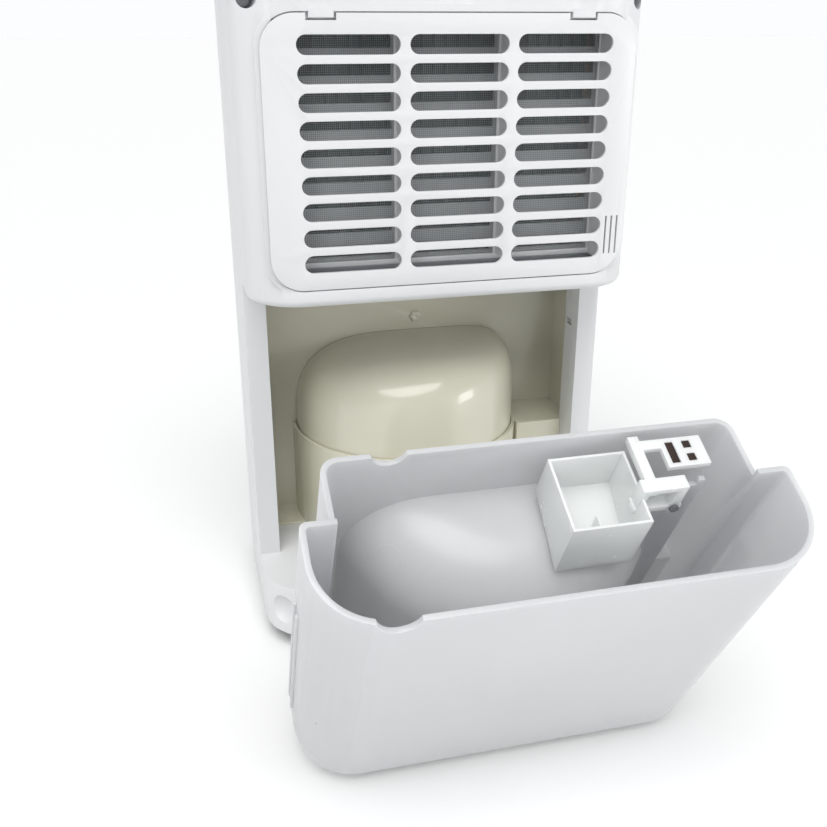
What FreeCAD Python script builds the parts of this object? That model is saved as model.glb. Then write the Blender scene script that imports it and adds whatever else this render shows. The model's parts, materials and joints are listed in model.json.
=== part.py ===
import FreeCAD
import Part
import math
import os

Vec = FreeCAD.Vector

# Dehumidifier, millimetres. The floor is Z 0, the tank side faces -Y and the
# user side faces +Y. X 0 is the middle of the width. The pieces are drawn with Y 0
# at the front plane of the tank side, and the finished whole is then centred on Y.

# Driving dimensions: the whole unit
width = 270.0
depth = 195.0
height = 500.0
corner_tank_side = 37.0
corner_user_side = 45.0
wall = 3.0
parting_y = 112.0
lid_height = 30.0
lid_inset = 16.0

# Base
foot_height = 5.0
foot_radius = 10.0
foot_inset = 40.0
platform_z = 53.0
base_chamfer = 8.0
scoop_radius = 14.0
scoop_shift = 5.6

# Bay for the tank
lip_z = 266.0
lip_round = 5.0
pillar_face = 15.3
pillar_return = 25.0
bay_back_y = 134.0
liner_wall = 2.5
liner_gap = 0.2
liner_screw_z = 215.5

# Compressor cover
dome_x = -4.0
dome_y = 125.0
skirt_radius = 92.5
skirt_top_z = 133.0
dome_radius = 89.5
dome_top_z = 205.0
dome_edge_round = 38.0
window_half_width = 70.0
service_box_x = 82.0
service_box_y = 84.0

# Tank
tank_wall = 3.0
tank_shelf_gap = 1.2
tank_rim_z = 263.5
tank_rear_rim_z = 257.0
tank_side_gap = 1.5
shoulder_y = 59.5
pillar_gap = 2.2
tank_back_y = 100.0
dome_gap = 6.5
draw_angle = 30.0
draw_axis_y = 20.0
draw_axis_z = -236.5

# Intake cover, filter and guard
cover_half_width = 120.0
cover_low_z = 277.8
cover_drop = 25.8
cover_corner = 21.0
cover_thick = 2.5
cover_gap = 0.8
cover_hinge_y = 0.6
cover_hinge_rise = 0.6
slot_length = 63.6
slot_height = 11.5
slot_pitch_x = 69.5
slot_pitch_z = 16.5
slot_top_room = 17.0
slot_left_x = -98.4
slot_low_z = 294.6
frame_left_x = -104.5
frame_right_x = 106.0
filter_y = 22.0
filter_thick = 3.0
guard_y = 28.0
guard_thick = 2.0
guard_window = 8.0

# Cooling circuit
coil_half_width = 100.0
evaporator_y = 33.0
coil_depth = 22.0
coil_gap = 5.0
coil_low_z = 288.0
coil_drop = 6.2
fin_count = 26
fin_thick = 1.0
pipe_radius = 3.2
pipe_back_room = 16.0
bend_pitch_min = 22.0
bend_low_room = 6.0
bend_high_room = 8.0
compressor_radius = 52.0
compressor_low_z = 66.0
compressor_high_z = 182.0
mount_circle = 53.5
mount_radius = 7.5

# Fan
fan_gap = 20.0
fan_blades = 30
housing_floor_gap = 15.0
housing_throat = 28.0
housing_y = 88.0
housing_length = 62.0
housing_wall = 2.0
shaft_radius = 3.0
shaft_clearance = 0.05
motor_radius = 30.0

# Outlet, flap and control panel
outlet_half_width = 84.0
outlet_y0 = 89.0
outlet_y1 = 150.0
flap_gap = 1.2
panel_half_width = 56.0
panel_y0 = 159.0
panel_y1 = 185.0
button_radius = 4.8
button_gap = 0.3
button_travel = 1.2
button_count = 4
button_pitch = 14.0

# Float
float_pivot_x = 72.0
float_pivot_z = 240.0
float_plate_y = 64.5
float_wall = 1.5
pin_radius = 1.5
pin_clearance = 0.05

# Worked out from the sizes above
seam_z = height - lid_height
cover_top_z = seam_z - cover_drop
slot_rows = int((cover_top_z - slot_top_room - slot_low_z) / slot_pitch_z) + 1
coil_high_z = cover_top_z - coil_drop
grille_z = height - 12.0
bend_span = coil_high_z - coil_low_z - bend_low_room - bend_high_room
bend_rows = int(bend_span / bend_pitch_min)
bend_pitch = bend_span / bend_rows
half_width = width / 2.0
bay_floor_z = platform_z
tank_floor_z = platform_z + tank_shelf_gap
pillar_inner_x = half_width - pillar_face
tank_half_width = half_width - tank_side_gap
tank_rear_half_width = pillar_inner_x - pillar_gap
pillar_y = shoulder_y + 1.7
liner_half_width = half_width - wall - liner_gap
ceiling_z = lip_z + wall
housing_low_z = ceiling_z + housing_floor_gap
housing_radius = (grille_z - housing_throat - housing_low_z) / 2.0
fan_z = housing_low_z + housing_radius
fan_radius = housing_radius - fan_gap
opening_low_z = cover_low_z + 5.2
opening_high_z = cover_top_z - 3.2
opening_half_width = cover_half_width - 8.0
condenser_y = evaporator_y + coil_depth + coil_gap
housing_end_y = housing_y + housing_length
pipe_y = depth - wall - pipe_back_room


def box(x0, x1, y0, y1, z0, z1):
    return Part.makeBox(x1 - x0, y1 - y0, z1 - z0, Vec(x0, y0, z0))


def cyl_z(radius, x, y, z0, z1):
    return Part.makeCylinder(radius, z1 - z0, Vec(x, y, z0), Vec(0, 0, 1))


def cyl_y(radius, x, z, y0, y1):
    return Part.makeCylinder(radius, y1 - y0, Vec(x, y0, z), Vec(0, 1, 0))


def cyl_x(radius, y, z, x0, x1):
    return Part.makeCylinder(radius, x1 - x0, Vec(x0, y, z), Vec(1, 0, 0))


def group(shapes):
    return Part.makeCompound(shapes)


def fuse_all(shapes):
    joined = shapes[0].fuse(shapes[1:])
    return joined.removeSplitter()


def rounded_outline(x0, x1, y0, y1, r_low, r_high, z):
    # A rectangle with one radius at its two low-Y corners and one at the others
    corners = [
        (x0 + r_low, y0 + r_low, r_low, 180.0),
        (x1 - r_low, y0 + r_low, r_low, 270.0),
        (x1 - r_high, y1 - r_high, r_high, 0.0),
        (x0 + r_high, y1 - r_high, r_high, 90.0),
    ]
    arcs = []
    for cx, cy, radius, start in corners:
        centre = Vec(cx, cy, z)
        circle = Part.Circle(centre, Vec(0, 0, 1), radius)
        arcs.append(Part.Arc(circle, math.radians(start), math.radians(start + 90.0)))
    edges = []
    for index, arc in enumerate(arcs):
        following = arcs[(index + 1) % len(arcs)]
        edges.append(arc.toShape())
        line = Part.LineSegment(arc.EndPoint, following.StartPoint)
        edges.append(line.toShape())
    return Part.Wire(edges)


def rounded_prism(x0, x1, y0, y1, r_low, r_high, z0, z1):
    face = Part.Face(rounded_outline(x0, x1, y0, y1, r_low, r_high, z0))
    return face.extrude(Vec(0, 0, z1 - z0))


def unit_prism(inset, z0, z1):
    # The plan outline of the unit, moved inwards by inset
    x = half_width - inset
    r_low = corner_tank_side - inset
    r_high = corner_user_side - inset
    return rounded_prism(-x, x, inset, depth - inset, r_low, r_high, z0, z1)


def front_plate(x0, x1, z0, z1, radius, y0, y1):
    # A rounded rectangle in the XZ plane, extruded along Y
    flat = rounded_prism(x0, x1, z0, z1, radius, radius, 0.0, y1 - y0)
    flat.rotate(Vec(0, 0, 0), Vec(1, 0, 0), 90.0)
    flat.translate(Vec(0, y1, 0))
    return flat


def low_edges(shape, z):
    found = []
    for edge in shape.Edges:
        bounds = edge.BoundBox
        if abs(bounds.ZMin - z) < 0.01 and abs(bounds.ZMax - z) < 0.01:
            found.append(edge)
    return found


def tube_path(points, radius):
    # Round bar along straight runs with a ball at each turn
    pieces = []
    for start, end in zip(points[:-1], points[1:]):
        run = Vec(*end) - Vec(*start)
        pieces.append(Part.makeCylinder(radius, run.Length, Vec(*start), run))
    for point in points[1:-1]:
        pieces.append(Part.makeSphere(radius, Vec(*point)))
    return fuse_all(pieces)


def filleted_cylinder(radius, x, y, z0, z1, edge_round):
    body = cyl_z(radius, x, y, z0, z1)
    return body.makeFillet(edge_round, low_edges(body, z1))


# ---- base ----

def make_base():
    outer = unit_prism(0.0, foot_height, platform_z)
    outer = outer.makeChamfer(base_chamfer, low_edges(outer, foot_height))
    hollow = unit_prism(wall, foot_height - 1.0, platform_z - wall)
    base = outer.cut(hollow)
    posts = []
    for x, y in foot_places():
        posts.append(cyl_z(foot_radius + 3.0, x, y, foot_height, platform_z - wall))
    base = base.fuse(posts)
    sockets = []
    for x, y in foot_places():
        sockets.append(cyl_z(foot_radius - 2.0, x, y, foot_height - 1.0, foot_height + 4.0))
    base = base.cut(sockets)
    base = base.cut(cyl_y(gland_radius(), gland_x(), gland_z(), depth - 12.0, depth + 1.0))
    backing = []
    for side in (-1.0, 1.0):
        backing.append(finger_scoop(side, wall).common(outer))
    base = base.fuse(backing)
    return base.cut([finger_scoop(-1.0, 0.0), finger_scoop(1.0, 0.0)])


def finger_scoop(side, grow):
    # A shallow leaf-shaped hollow in each front corner of the base
    ball = Part.makeSphere(scoop_radius + grow)
    reach = corner_tank_side * (1.0 - math.sqrt(0.5))
    centre_x = side * (half_width - reach + scoop_shift)
    centre_y = reach - scoop_shift
    ball.translate(Vec(centre_x, centre_y, platform_z - 20.0))
    return ball


def foot_places():
    x = half_width - foot_inset
    return [(-x, foot_inset), (x, foot_inset), (-x, depth - foot_inset), (x, depth - foot_inset)]


def make_feet():
    feet = []
    for x, y in foot_places():
        pad = cyl_z(foot_radius, x, y, 0.0, foot_height)
        plug = cyl_z(foot_radius - 2.0, x, y, foot_height, foot_height + 4.0)
        feet.append(fuse_all([pad, plug]))
    return group(feet)


def gland_radius():
    return 6.0


def gland_x():
    return 70.0


def gland_z():
    return 32.0


def make_gland():
    y1 = depth
    sleeve = cyl_y(gland_radius(), gland_x(), gland_z(), y1 - 8.0, y1)
    flange = cyl_y(gland_radius() + 3.0, gland_x(), gland_z(), y1 - 8.0, y1 - wall)
    bore = cyl_y(gland_radius() - 2.5, gland_x(), gland_z(), y1 - 10.0, y1 + 1.0)
    return sleeve.fuse(flange).cut(bore)


# ---- casing ----

def make_rear_casing():
    upper = unit_prism(0.0, lip_z, seam_z)
    upper = upper.makeFillet(lip_round, low_edges(upper, lip_z))
    upper = upper.cut(unit_prism(wall, ceiling_z, seam_z + 1.0))
    lower = unit_prism(0.0, platform_z, lip_z + lip_round)
    lower = lower.cut(unit_prism(wall, platform_z - 1.0, seam_z))
    lower = lower.cut(box(-width, width, -1.0, pillar_y, 0.0, lip_z + lip_round + 1.0))
    shell = upper.fuse([lower] + pillars())
    shell = shell.cut(box(-width, width, parting_y, depth + 1.0, 0.0, height))
    shell = shell.fuse(intake_well())
    shell = shell.fuse(screw_bosses())
    shell = shell.cut(intake_cuts() + detent_slots())
    return shell.fuse(latch_tabs()).removeSplitter()


def pillars():
    made = []
    x1 = half_width - wall
    for side in (-1.0, 1.0):
        xs = sorted((side * pillar_inner_x, side * x1))
        made.append(box(xs[0], xs[1], pillar_y, pillar_y + wall, platform_z, ceiling_z))
        xr = sorted((side * pillar_inner_x, side * (pillar_inner_x + liner_wall)))
        y1 = pillar_y + pillar_return
        made.append(box(xr[0], xr[1], pillar_y, y1, platform_z, ceiling_z))
    return made


def detent_slots():
    # A narrow slot in each pillar return, where a nib of the tank's flank snaps in
    slots = []
    for side in (-1.0, 1.0):
        xs = sorted((side * (pillar_inner_x - 1.0), side * (pillar_inner_x + liner_wall + 1.0)))
        slots.append(box(xs[0], xs[1], pillar_y + 12.0, pillar_y + 21.0, 217.0, 222.0))
    return slots


def intake_well():
    # A ring behind the cover and four walls that run back to the guard
    x = opening_half_width
    t = liner_wall
    ring = front_plate(
        -cover_half_width - 3.0, cover_half_width + 3.0, cover_low_z - 3.0,
        cover_top_z + 3.0, cover_corner, cover_thick + 0.7, cover_thick + 3.2)
    tube = box(-x - t, x + t, cover_thick + 3.0, guard_y + guard_thick,
               opening_low_z - t, opening_high_z + t)
    return [ring, tube]


def screw_places():
    x = half_width - 10.0
    return [(-x, seam_z - 18.0), (x, seam_z - 18.0)]


def screw_bosses():
    bosses = []
    for x, z in screw_places():
        boss = cyl_y(8.0, x, z, 14.0, 46.0)
        bosses.append(boss.common(unit_prism(1.0, lip_z, seam_z)))
    return bosses


def intake_cuts():
    x = opening_half_width
    gap = cover_gap
    cuts = [
        front_plate(-cover_half_width - gap, cover_half_width + gap, cover_low_z - gap,
                    cover_top_z + gap, cover_corner + gap, -1.0, cover_thick + 0.7),
        box(-x, x, -1.0, guard_y + guard_thick + 1.0, opening_low_z, opening_high_z),
        cyl_z(spout_radius() + 1.0, spout_x(), spout_y(), lip_z - 1.0, ceiling_z + 1.0),
    ]
    for sx, sz in screw_places():
        cuts.append(cyl_y(5.5, sx, sz, -1.0, 40.0))
        cuts.append(cyl_y(2.0, sx, sz, 39.0, 47.0))
    bowl = Part.makeSphere(90.0, Vec(0, -88.2, seam_z - 8.0))
    cuts.append(bowl.common(box(-29.0, 29.0, -1.0, 2.0, seam_z - 21.0, seam_z - 1.0)))
    for side in (-1.0, 1.0):
        dish = Part.makeSphere(30.0, Vec(side * tab_x(), -29.0, cover_top_z + 4.0))
        cuts.append(dish)
    return cuts


def tab_x():
    return 83.0


def latch_tabs():
    tabs = []
    for side in (-1.0, 1.0):
        x0 = side * tab_x() - 7.5
        tabs.append(box(x0, x0 + 15.0, -0.5, cover_thick + 0.7,
                        cover_top_z - 2.6, cover_top_z + 2.0))
    return tabs


def make_front_casing():
    shell = unit_prism(0.0, platform_z, seam_z).cut(unit_prism(wall, platform_z - 1.0, seam_z + 1.0))
    return shell.cut(box(-width, width, -1.0, parting_y, 0.0, height))


def make_casing_screws():
    screws = []
    for x, z in screw_places():
        head = cyl_y(4.2, x, z, 36.5, 40.0)
        socket = box(x - 2.4, x + 2.4, 36.0, 38.0, z - 0.6, z + 0.6)
        shank = cyl_y(2.0, x, z, 40.0, 46.0)
        screws.append(fuse_all([head, shank]).cut(socket))
    return group(screws)


# ---- bay liner and compressor cover ----

def make_bay_liner():
    x = liner_half_width
    t = liner_wall
    z0 = bay_floor_z
    back = box(-x, x, bay_back_y, bay_back_y + t, z0, lip_z)
    side_y = pillar_y + pillar_return + 1.0
    left = box(-x, -x + t, side_y, bay_back_y, z0, lip_z)
    right = box(x - t, x, side_y, bay_back_y, z0, lip_z)
    strip = box(-x, x, tank_back_y + 3.0, bay_back_y, z0, z0 + t)
    corner = box(service_box_x, x, service_box_y, bay_back_y, z0, skirt_top_z)
    skirt = cyl_z(skirt_radius, dome_x, dome_y, z0, skirt_top_z)
    skirt = skirt.fuse(box(dome_x - skirt_radius, dome_x + skirt_radius,
                           dome_y, bay_back_y, z0, skirt_top_z))
    hollow = cyl_z(skirt_radius - t, dome_x, dome_y, z0 - 1.0, skirt_top_z + 1.0)
    hollow = hollow.fuse(box(dome_x - skirt_radius + t, dome_x + skirt_radius - t,
                             dome_y, bay_back_y, z0 - 1.0, skirt_top_z + 1.0))
    hollow = hollow.common(box(-width, width, 0.0, bay_back_y, 0.0, height))
    box_hollow = box(service_box_x + t, x - t, service_box_y + t, bay_back_y + 4.0,
                     z0 - 1.0, skirt_top_z - t)
    window = box(dome_x - window_half_width, dome_x + window_half_width, bay_back_y - 1.0,
                 bay_back_y + t + 1.0, z0 - 1.0, dome_top_z - 20.0)
    skirt = skirt.common(box(-width, width, 0.0, bay_back_y + t, 0.0, height))
    liner = fuse_all([back, left, right, strip, corner, skirt])
    liner = liner.common(unit_prism(wall + liner_gap, 0.0, height))
    liner = liner.cut([hollow, box_hollow, window] + pillar_rooms())
    return liner.cut(cyl_y(2.0, 8.0, liner_screw_z, bay_back_y - 1.0, bay_back_y + t + 1.0))


def pillar_rooms():
    # The room that the liner leaves for the pillar returns
    rooms = []
    for side in (-1.0, 1.0):
        xs = sorted((side * (pillar_inner_x - liner_gap), side * width))
        rooms.append(box(xs[0], xs[1], -1.0, pillar_y + pillar_return + liner_gap, 0.0, height))
    return rooms


def make_compressor_cover():
    front = box(-width, width, -1.0, bay_back_y, 0.0, height)
    outer = filleted_cylinder(dome_radius, dome_x, dome_y, skirt_top_z - 6.0, dome_top_z,
                              dome_edge_round)
    outer = outer.fuse(cyl_z(skirt_radius - liner_wall, dome_x, dome_y,
                             skirt_top_z - 6.0, skirt_top_z - 3.0))
    inner = filleted_cylinder(dome_radius - liner_wall, dome_x, dome_y, skirt_top_z - 7.0,
                              dome_top_z - liner_wall, dome_edge_round - liner_wall)
    return outer.common(front).cut(inner)


def make_liner_screw():
    z = liner_screw_z
    head = cyl_y(4.0, 8.0, z, bay_back_y - 2.2, bay_back_y)
    shank = cyl_y(2.0, 8.0, z, bay_back_y, bay_back_y + 8.0)
    slot = box(3.0, 13.0, bay_back_y - 3.0, bay_back_y - 1.2, z - 0.5, z + 0.5)
    return fuse_all([head, shank]).cut(slot)


# ---- intake cover, filter, guard ----

def slot_boxes(height_of_slot, y0, y1, radius, rise=0.0):
    cuts = []
    for column in range(3):
        x0 = slot_left_x + column * slot_pitch_x
        for row in range(slot_rows):
            z = slot_low_z + row * slot_pitch_z + rise
            cuts.append(front_plate(x0, x0 + slot_length, z - height_of_slot / 2.0,
                                    z + height_of_slot / 2.0, radius, y0, y1))
    return cuts


def make_filter_cover():
    cover = front_plate(-cover_half_width, cover_half_width, cover_low_z, cover_top_z,
                        cover_corner, 0.0, cover_thick)
    cuts = slot_boxes(slot_height, -1.0, cover_thick + 1.0, slot_height / 2.0 - 0.01)
    for x in (108.0, 112.0, 116.0):
        cuts.append(box(x - 0.6, x + 0.6, -1.0, cover_thick + 1.0, 291.0, 317.0))
    for side in (-1.0, 1.0):
        x0 = side * tab_x() - 9.2
        cuts.append(box(x0, x0 + 18.4, -1.0, cover_thick + 1.0, cover_top_z - 4.0,
                        cover_top_z + 1.0))
    cover = cover.cut(cuts)
    rails = []
    for x in (frame_left_x - 1.2, frame_right_x):
        rails.append(box(x, x + 1.2, cover_thick, filter_y + filter_thick,
                         opening_low_z + 4.0, opening_high_z - 5.0))
    for x in (slot_left_x + slot_length + 2.9, slot_left_x + slot_length + slot_pitch_x + 2.9):
        rails.append(box(x - 0.9, x + 0.9, cover_thick, filter_y,
                         opening_low_z + 8.0, opening_high_z - 9.0))
    return cover.fuse(rails).removeSplitter()


def make_filter_frame():
    z0 = opening_low_z + 4.0
    z1 = opening_high_z - 5.0
    y1 = filter_y + filter_thick
    frame = box(frame_left_x, frame_right_x, filter_y, y1, z0, z1)
    windows = []
    for column in range(3):
        x0 = slot_left_x + column * slot_pitch_x - 0.5
        windows.append(box(x0, x0 + slot_length + 1.0, filter_y - 1.0, y1 + 1.0,
                           z0 + 3.5, z1 - 3.5))
    return frame.cut(windows)


def make_filter_net():
    z0 = opening_low_z + 7.5
    z1 = opening_high_z - 8.5
    sheets = []
    for column in range(3):
        x0 = slot_left_x + column * slot_pitch_x - 0.5
        sheets.append(box(x0, x0 + slot_length + 1.0, filter_y + 1.2, filter_y + 1.8, z0, z1))
    return group(sheets)


def make_filter_guard():
    x = opening_half_width
    plate = box(-x, x, guard_y, guard_y + guard_thick, opening_low_z, opening_high_z)
    return plate.cut(slot_boxes(guard_window, guard_y - 1.0, guard_y + guard_thick + 1.0,
                                1.0, 1.5))


# ---- cooling circuit ----

def coil_fins(y0):
    fins = []
    pitch = (2.0 * coil_half_width - fin_thick) / (fin_count - 1)
    for index in range(fin_count):
        x = -coil_half_width + index * pitch
        fins.append(box(x, x + fin_thick, y0, y0 + coil_depth, coil_low_z, coil_high_z))
    core = box(-coil_half_width, coil_half_width, y0 + 6.0, y0 + coil_depth - 6.0,
               coil_low_z + 2.0, coil_high_z - 2.0)
    return fuse_all([core] + fins)


def bend_place(row):
    return coil_low_z + bend_low_room + bend_pitch * (row + 0.5)


def coil_block(y0):
    return box(-coil_half_width, coil_half_width, y0, y0 + coil_depth, coil_low_z, coil_high_z)


def coil_bends(y0):
    # Return bends on both ends of the coil, one pair of tubes to each bend
    bends = []
    y = y0 + coil_depth / 2.0
    for side in (-1.0, 1.0):
        for row in range(bend_rows):
            z = bend_place(row)
            ring = Part.makeTorus(bend_pitch / 4.0, pipe_radius, Vec(0, 0, 0), Vec(0, 1, 0))
            ring.translate(Vec(side * coil_half_width, y, z))
            xs = sorted((side * coil_half_width, side * (coil_half_width + 20.0)))
            bends.append(ring.common(box(xs[0], xs[1], y - 9.0, y + 9.0, z - 15.0, z + 15.0)))
    return group(bends)


def spout_x():
    return -80.0


def spout_y():
    return 88.0


def spout_radius():
    return 5.0


def make_drip_tray():
    z0 = ceiling_z
    y0 = guard_y + guard_thick + 0.5
    tray = box(-108.0, 108.0, y0, 96.0, z0, z0 + 12.0)
    tray = tray.cut(box(-106.0, 106.0, y0 + 2.0, 94.0, z0 + 2.0, z0 + 13.0))
    spout = cyl_z(spout_radius(), spout_x(), spout_y(), lip_z - 8.0, z0 + 2.0)
    bore = cyl_z(spout_radius() - 1.5, spout_x(), spout_y(), lip_z - 9.0, z0 + 3.0)
    return tray.fuse(spout).cut(bore)


def make_compressor():
    can = cyl_z(compressor_radius, dome_x, dome_y + 4.0, compressor_low_z, compressor_high_z)
    rings = low_edges(can, compressor_low_z) + low_edges(can, compressor_high_z)
    can = can.makeFillet(16.0, rings)
    feet = []
    for angle in (90.0, 210.0, 330.0):
        foot = box(30.0, mount_circle + mount_radius, -9.0, 9.0,
                   compressor_low_z - 1.0, compressor_low_z + 2.0)
        foot = foot.cut(cyl_z(4.0, mount_circle, 0.0, 50.0, 80.0))
        foot.rotate(Vec(0, 0, 0), Vec(0, 0, 1), angle)
        foot.translate(Vec(dome_x, dome_y + 4.0, 0.0))
        feet.append(foot)
    web = cyl_z(40.0, dome_x, dome_y + 4.0, compressor_low_z - 1.0, compressor_low_z + 2.0)
    return can.fuse(feet + [web]).removeSplitter()


def make_compressor_mounts():
    mounts = []
    for angle in (90.0, 210.0, 330.0):
        x = dome_x + mount_circle * math.cos(math.radians(angle))
        y = dome_y + 4.0 + mount_circle * math.sin(math.radians(angle))
        pad = cyl_z(mount_radius, x, y, platform_z, compressor_low_z - 1.0)
        neck = cyl_z(4.0, x, y, compressor_low_z - 1.0, compressor_low_z + 2.0)
        cap = cyl_z(6.0, x, y, compressor_low_z + 2.0, compressor_low_z + 5.0)
        mounts.append(fuse_all([pad, neck, cap]))
    return group(mounts)


def compressor_port(side):
    reach = compressor_radius * math.sqrt(0.5)
    return (dome_x + side * reach, dome_y + 4.0 + reach, compressor_high_z - 32.0)


def make_suction_pipe():
    y = evaporator_y + coil_depth / 2.0
    z = coil_low_z + 5.0
    x = coil_half_width + 14.0
    points = [
        compressor_port(1.0), (dome_x + 44.0, pipe_y, 176.0),
        (x, pipe_y, 220.0), (x, pipe_y, z), (x, y + 6.0, z), (coil_half_width, y, z),
    ]
    pipe = tube_path(points, pipe_radius)
    return pipe.cut([make_compressor(), coil_block(evaporator_y)])


def make_discharge_pipe():
    y = condenser_y + coil_depth / 2.0
    z = coil_low_z + 5.0
    x = -coil_half_width - 14.0
    points = [
        compressor_port(-1.0), (dome_x - 44.0, pipe_y, 176.0),
        (x, pipe_y, 220.0), (x, pipe_y, z), (x, y + 6.0, z), (-coil_half_width, y, z),
    ]
    pipe = tube_path(points, pipe_radius)
    return pipe.cut([make_compressor(), coil_block(condenser_y)])


def make_filter_drier():
    y0 = evaporator_y + coil_depth / 2.0
    y1 = condenser_y + coil_depth / 2.0
    z = coil_high_z - 5.0
    x = coil_half_width + 18.0
    low = (bend_place(bend_rows // 2 - 1) + bend_place(bend_rows // 2)) / 2.0
    body = cyl_z(7.0, x, y1, low + 9.0, z - 12.0)
    inlet = tube_path([(x, y1, z - 13.0), (x, y1, z), (coil_half_width, y1, z)], 2.0)
    run = tube_path([(x, y1, low + 10.0), (x, y1 - 4.0, low), (x, y0, low),
                     (coil_half_width, y0, low)], 1.4)
    return fuse_all([body, inlet, run])


# ---- fan ----

def make_fan_housing():
    z = fan_z
    t = housing_wall
    r = housing_radius
    top = grille_z
    outer = cyl_y(r, 0.0, z, housing_y, housing_end_y)
    outer = outer.fuse(box(-r, r, housing_y, housing_end_y, z, top))
    inner = cyl_y(r - t, 0.0, z, housing_y + t, housing_end_y - t)
    inner = inner.fuse(box(-r + t, r - t, housing_y + t, housing_end_y - t, z, top + 1.0))
    shell = outer.cut(inner)
    shell = shell.cut(cyl_y(fan_radius - 14.0, 0.0, z, housing_y - 1.0, housing_y + t + 1.0))
    return shell.cut(cyl_y(12.0, 0.0, z, housing_end_y - t - 1.0, housing_end_y + 1.0))


def make_fan_wheel():
    y0 = housing_y + 10.0
    y1 = housing_end_y - 12.0
    ring = cyl_y(fan_radius, 0.0, fan_z, y0, y0 + 2.5)
    ring = ring.cut(cyl_y(fan_radius - 11.0, 0.0, fan_z, y0 - 1.0, y0 + 4.0))
    plate = cyl_y(fan_radius, 0.0, fan_z, y1 - 2.5, y1)
    hub = cyl_y(9.0, 0.0, fan_z, y1 - 16.0, y1)
    pieces = [ring, plate, hub]
    for index in range(fan_blades):
        blade = box(fan_radius - 10.5, fan_radius - 0.5, y0 + 1.0, y1 - 1.0, -0.7, 0.7)
        blade.rotate(Vec(fan_radius - 5.0, 0, 0), Vec(0, 1, 0), 35.0)
        blade.rotate(Vec(0, 0, 0), Vec(0, 1, 0), 360.0 * index / fan_blades)
        blade.translate(Vec(0, 0, fan_z))
        pieces.append(blade)
    wheel = pieces[0].fuse(pieces[1:])
    return wheel.cut(cyl_y(shaft_radius, 0.0, fan_z, y1 - 20.0, y1 + 1.0))


def make_fan_shaft():
    return cyl_y(shaft_radius, 0.0, fan_z, housing_end_y - 27.0, housing_end_y + 24.0)


def make_fan_motor():
    y0 = housing_end_y
    can = cyl_y(motor_radius, 0.0, fan_z, y0, y0 + 32.0)
    flange = cyl_y(motor_radius + 8.0, 0.0, fan_z, y0, y0 + 3.0)
    motor = fuse_all([can, flange])
    bore = shaft_radius + shaft_clearance
    return motor.cut(cyl_y(bore, 0.0, fan_z, y0 - 1.0, y0 + 26.0))


# ---- top ----

def make_top_cover():
    outer = unit_prism(0.0, seam_z, height)
    top_edges = low_edges(outer, height)
    outer = outer.makeFillet(14.0, top_edges)
    inner = unit_prism(wall, seam_z - 1.0, height - 15.0)
    lid_room = unit_prism(lid_inset, height - 16.0, height - wall)
    cover = outer.cut([inner, lid_room])
    x = outlet_half_width
    lugs = []
    for side in (-1.0, 1.0):
        xs = sorted((side * x, side * (x + 8.0)))
        lugs.append(box(xs[0], xs[1], outlet_y1 - 10.0, outlet_y1 + 4.0,
                        height - 12.0, height - 1.0))
    cover = cover.fuse(lugs)
    cuts = [
        box(-x, x, outlet_y0, outlet_y1, height - 20.0, height + 1.0),
        box(-panel_half_width, panel_half_width, panel_y0, panel_y1, height - 1.5, height + 1.0),
        box(-panel_half_width + 3.0, panel_half_width - 3.0, panel_y0 + 3.0, panel_y1 - 3.0,
            height - 5.0, height + 1.0),
        cyl_x(pin_radius + pin_clearance, flap_hinge_y(), flap_hinge_z(), -x - 6.0, x + 6.0),
    ]
    return cover.cut(cuts)


def flap_hinge_y():
    return outlet_y1 - 4.0


def flap_hinge_z():
    return height - 4.0


def make_outlet_grille():
    z0 = grille_z
    z1 = z0 + 4.0
    x = outlet_half_width - 0.4
    y0 = outlet_y0 + 0.4
    y1 = outlet_y1 - 0.4
    frame = box(-x, x, y0, y1, z0, z1)
    frame = frame.cut(box(-x + 3.0, x - 3.0, y0 + 3.0, y1 - 3.0, z0 - 1.0, z1 + 1.0))
    bars = []
    count = 13
    for index in range(1, count):
        bar_x = -x + 2.0 * x * index / count
        bars.append(box(bar_x - 0.8, bar_x + 0.8, y0 + 1.0, y1 - 1.0, z0, z1))
    mid = (y0 + y1) / 2.0
    bars.append(box(-x + 1.0, x - 1.0, mid - 1.0, mid + 1.0, z0, z1))
    return fuse_all([frame] + bars)


def make_outlet_flap():
    x = outlet_half_width - flap_gap
    y = flap_hinge_y()
    z = flap_hinge_z()
    plate = front_plate(-x, x, outlet_y0 + flap_gap, y, 3.0, 0.0, 2.0)
    plate.rotate(Vec(0, 0, 0), Vec(1, 0, 0), -90.0)
    plate.rotate(Vec(0, 0, 0), Vec(1, 0, 0), 180.0)
    bounds = plate.BoundBox
    plate.translate(Vec(0, outlet_y0 + flap_gap - bounds.YMin, height - 0.4 - bounds.ZMax))
    barrel = cyl_x(2.4, y, z, -x, x)
    web = box(-x, x, y - 2.0, y, z, height - 0.6)
    pins = cyl_x(pin_radius, y, z, -outlet_half_width - 5.0, outlet_half_width + 5.0)
    return fuse_all([plate, barrel, web, pins])


def button_places():
    y = (panel_y0 + panel_y1) / 2.0
    first = 2.0
    return [(first + index * button_pitch, y) for index in range(button_count)]


def make_control_panel():
    g = 0.2
    plate = box(-panel_half_width + g, panel_half_width - g, panel_y0 + g, panel_y1 - g,
                height - 1.5, height)
    holes = []
    for x, y in button_places():
        holes.append(cyl_z(button_radius + button_gap, x, y, height - 3.0, height + 1.0))
    lens = lens_box(0.0, height - 3.0, height + 1.0)
    return plate.cut(holes + [lens])


def lens_box(inset, z0, z1):
    x0 = -panel_half_width + 8.0 + inset
    y0 = panel_y0 + 5.0 + inset
    return box(x0, x0 + 42.0 - 2.0 * inset, y0, panel_y1 - 5.0 - inset, z0, z1)


def make_display_lens():
    return lens_box(0.0, height - 1.5, height + 0.0)


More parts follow.
